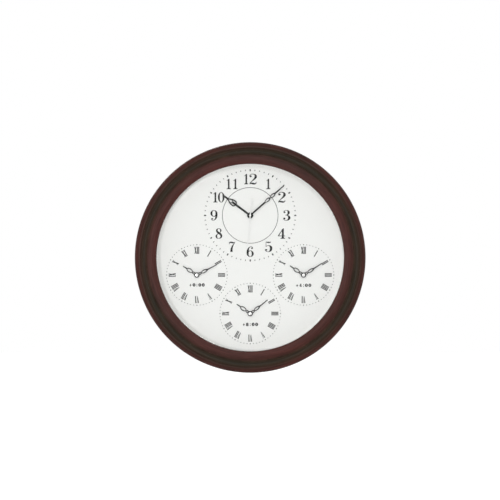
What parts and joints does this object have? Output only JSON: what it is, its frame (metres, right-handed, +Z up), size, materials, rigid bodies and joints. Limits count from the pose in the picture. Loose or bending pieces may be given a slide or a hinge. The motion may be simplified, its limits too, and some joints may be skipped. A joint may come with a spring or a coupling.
{
  "type": "world time wall clock",
  "caption": "Round wooden wall clock with one large and three small dials behind flat glass, openwork hands, battery movements and a keyhole hanger.",
  "frame": {"origin": "on the wooden ring's axis, at half the clock's depth from the bead's crown to the wall", "axes": "+Z up the dial, +Y from the glass towards the wall, +X to the right as the dial is read"},
  "size_m": [0.4, 0.0498, 0.4],
  "materials": {
    "ring_wood": "satin",
    "clear_glass": "polished",
    "spacer_plastic": "matte",
    "dial_print": "matte",
    "hardboard": "matte",
    "screw_steel": "satin",
    "hanger_steel": "satin",
    "felt": "matte",
    "gasket_rubber": "matte",
    "brass": "satin",
    "case_plastic": "matte",
    "knob_plastic": "satin",
    "contact_steel": "satin",
    "circuit_laminate": "satin",
    "coil_copper": "satin",
    "stator_iron": "satin",
    "battery_can": "satin",
    "black_enamel": "satin",
    "white_enamel": "satin",
    "bright_nut": "polished",
    "wheel_plastic": "satin",
    "rotor_magnet": "satin"
  },
  "bodies": {
    "clock_case": {"frame_ring": "ring_wood", "glass_lens": "clear_glass", "spacer_ring": "spacer_plastic", "dial_sheet": "dial_print", "dial_board": "hardboard", "wood_screws": "screw_steel", "hanger_plate": "hanger_steel", "wall_pads": "felt", "movement_gaskets": "gasket_rubber", "dial_washers": "brass", "dial_nuts": "brass", "rear_covers": "case_plastic", "battery_contacts": "contact_steel", "circuit_boards": "circuit_laminate", "quartz_crystals": "contact_steel", "motor_coils": "coil_copper", "motor_stators": "stator_iron", "main_front_case": "case_plastic", "main_middle_plate": "wheel_plastic", "left_front_case": "case_plastic", "right_front_case": "case_plastic", "lower_front_case": "case_plastic"},
    "main_minute": {"main_minute_hand": "black_enamel", "main_minute_arbor": "brass"},
    "main_hour": {"main_hour_hand": "black_enamel", "main_hour_wheel": "wheel_plastic"},
    "main_motion": {"main_motion_wheel": "wheel_plastic", "main_set_knob": "knob_plastic"},
    "main_battery": {"main_battery": "battery_can"},
    "left_minute": {"left_minute_hand": "black_enamel", "left_minute_arbor": "brass", "left_hand_nut": "bright_nut"},
    "left_hour": {"left_hour_hand": "black_enamel", "left_hour_wheel": "wheel_plastic"},
    "left_motion": {"left_motion_wheel": "wheel_plastic", "left_set_knob": "knob_plastic"},
    "left_battery": {"left_battery": "battery_can"},
    "right_minute": {"right_minute_hand": "black_enamel", "right_minute_arbor": "brass", "right_hand_nut": "bright_nut"},
    "right_hour": {"right_hour_hand": "black_enamel", "right_hour_wheel": "wheel_plastic"},
    "right_motion": {"right_motion_wheel": "wheel_plastic", "right_set_knob": "knob_plastic"},
    "right_battery": {"right_battery": "battery_can"},
    "lower_minute": {"lower_minute_hand": "black_enamel", "lower_minute_arbor": "brass", "lower_hand_nut": "bright_nut"},
    "lower_hour": {"lower_hour_hand": "black_enamel", "lower_hour_wheel": "wheel_plastic"},
    "lower_motion": {"lower_motion_wheel": "wheel_plastic", "lower_set_knob": "knob_plastic"},
    "lower_battery": {"lower_battery": "battery_can"},
    "main_second": {"main_second_hand": "white_enamel", "main_second_wheel": "wheel_plastic"},
    "main_third": {"main_third_wheel": "wheel_plastic"},
    "main_centre": {"main_centre_wheel": "wheel_plastic"},
    "main_fifth": {"main_fifth_wheel": "wheel_plastic"},
    "main_rotor": {"main_rotor": "rotor_magnet"}
  },
  "joints": [
    {"name": "main_minute_spin", "type": "hinge", "parent": "clock_case", "child": "main_minute", "pos_m": [0, 0, 0.0735], "axis": [0, 1, 0], "continuous": true},
    {"name": "main_hour_spin", "type": "hinge", "parent": "clock_case", "child": "main_hour", "pos_m": [0, 0, 0.0735], "axis": [0, 1, 0], "continuous": true},
    {"name": "main_setting_spin", "type": "hinge", "parent": "clock_case", "child": "main_motion", "pos_m": [-0.00707, 0, 0.08057], "axis": [0, 1, 0], "continuous": true},
    {"name": "main_battery_slide", "type": "slide", "parent": "clock_case", "child": "main_battery", "axis": [0, 1, 0], "range_m": [0, 0.02]},
    {"name": "left_minute_spin", "type": "hinge", "parent": "clock_case", "child": "left_minute", "pos_m": [-0.09305, 0, -0.03042], "axis": [0, 1, 0], "continuous": true},
    {"name": "left_hour_spin", "type": "hinge", "parent": "clock_case", "child": "left_hour", "pos_m": [-0.09305, 0, -0.03042], "axis": [0, 1, 0], "continuous": true},
    {"name": "left_setting_spin", "type": "hinge", "parent": "clock_case", "child": "left_motion", "pos_m": [-0.10013, 0, -0.02334], "axis": [0, 1, 0], "continuous": true},
    {"name": "left_battery_slide", "type": "slide", "parent": "clock_case", "child": "left_battery", "axis": [0, 1, 0], "range_m": [0, 0.02]},
    {"name": "right_minute_spin", "type": "hinge", "parent": "clock_case", "child": "right_minute", "pos_m": [0.09305, 0, -0.03042], "axis": [0, 1, 0], "continuous": true},
    {"name": "right_hour_spin", "type": "hinge", "parent": "clock_case", "child": "right_hour", "pos_m": [0.09305, 0, -0.03042], "axis": [0, 1, 0], "continuous": true},
    {"name": "right_setting_spin", "type": "hinge", "parent": "clock_case", "child": "right_motion", "pos_m": [0.08598, 0, -0.02334], "axis": [0, 1, 0], "continuous": true},
    {"name": "right_battery_slide", "type": "slide", "parent": "clock_case", "child": "right_battery", "axis": [0, 1, 0], "range_m": [0, 0.02]},
    {"name": "lower_minute_spin", "type": "hinge", "parent": "clock_case", "child": "lower_minute", "pos_m": [0, 0, -0.0979], "axis": [0, 1, 0], "continuous": true},
    {"name": "lower_hour_spin", "type": "hinge", "parent": "clock_case", "child": "lower_hour", "pos_m": [0, 0, -0.0979], "axis": [0, 1, 0], "continuous": true},
    {"name": "lower_setting_spin", "type": "hinge", "parent": "clock_case", "child": "lower_motion", "pos_m": [-0.00707, 0, -0.09083], "axis": [0, 1, 0], "continuous": true},
    {"name": "lower_battery_slide", "type": "slide", "parent": "clock_case", "child": "lower_battery", "axis": [0, 1, 0], "range_m": [0, 0.02]},
    {"name": "main_second_spin", "type": "hinge", "parent": "clock_case", "child": "main_second", "pos_m": [0, 0, 0.0735], "axis": [0, 1, 0], "continuous": true},
    {"name": "main_third_spin", "type": "hinge", "parent": "clock_case", "child": "main_third", "pos_m": [0.00972, 0, 0.0735], "axis": [0, 1, 0], "continuous": true},
    {"name": "main_centre_spin", "type": "hinge", "parent": "clock_case", "child": "main_centre", "pos_m": [0, 0, 0.0735], "axis": [0, 1, 0], "continuous": true},
    {"name": "main_fifth_spin", "type": "hinge", "parent": "clock_case", "child": "main_fifth", "pos_m": [0.0026, 0, 0.08149], "axis": [0, 1, 0], "continuous": true},
    {"name": "main_rotor_spin", "type": "hinge", "parent": "clock_case", "child": "main_rotor", "pos_m": [0.0026, 0, 0.08989], "axis": [0, 1, 0], "continuous": true}
  ],
  "couplings": [
    {"joint": "main_setting_spin", "follows": "main_minute_spin", "ratio": -0.33333},
    {"joint": "main_hour_spin", "follows": "main_minute_spin", "ratio": 0.083333},
    {"joint": "left_setting_spin", "follows": "left_minute_spin", "ratio": -0.33333},
    {"joint": "left_hour_spin", "follows": "left_minute_spin", "ratio": 0.083333},
    {"joint": "right_setting_spin", "follows": "right_minute_spin", "ratio": -0.33333},
    {"joint": "right_hour_spin", "follows": "right_minute_spin", "ratio": 0.083333},
    {"joint": "lower_setting_spin", "follows": "lower_minute_spin", "ratio": -0.33333},
    {"joint": "lower_hour_spin", "follows": "lower_minute_spin", "ratio": 0.083333},
    {"joint": "main_third_spin", "follows": "main_second_spin", "ratio": -0.13333},
    {"joint": "main_centre_spin", "follows": "main_second_spin", "ratio": 0.016667},
    {"joint": "main_fifth_spin", "follows": "main_second_spin", "ratio": -5},
    {"joint": "main_rotor_spin", "follows": "main_second_spin", "ratio": 30}
  ]
}
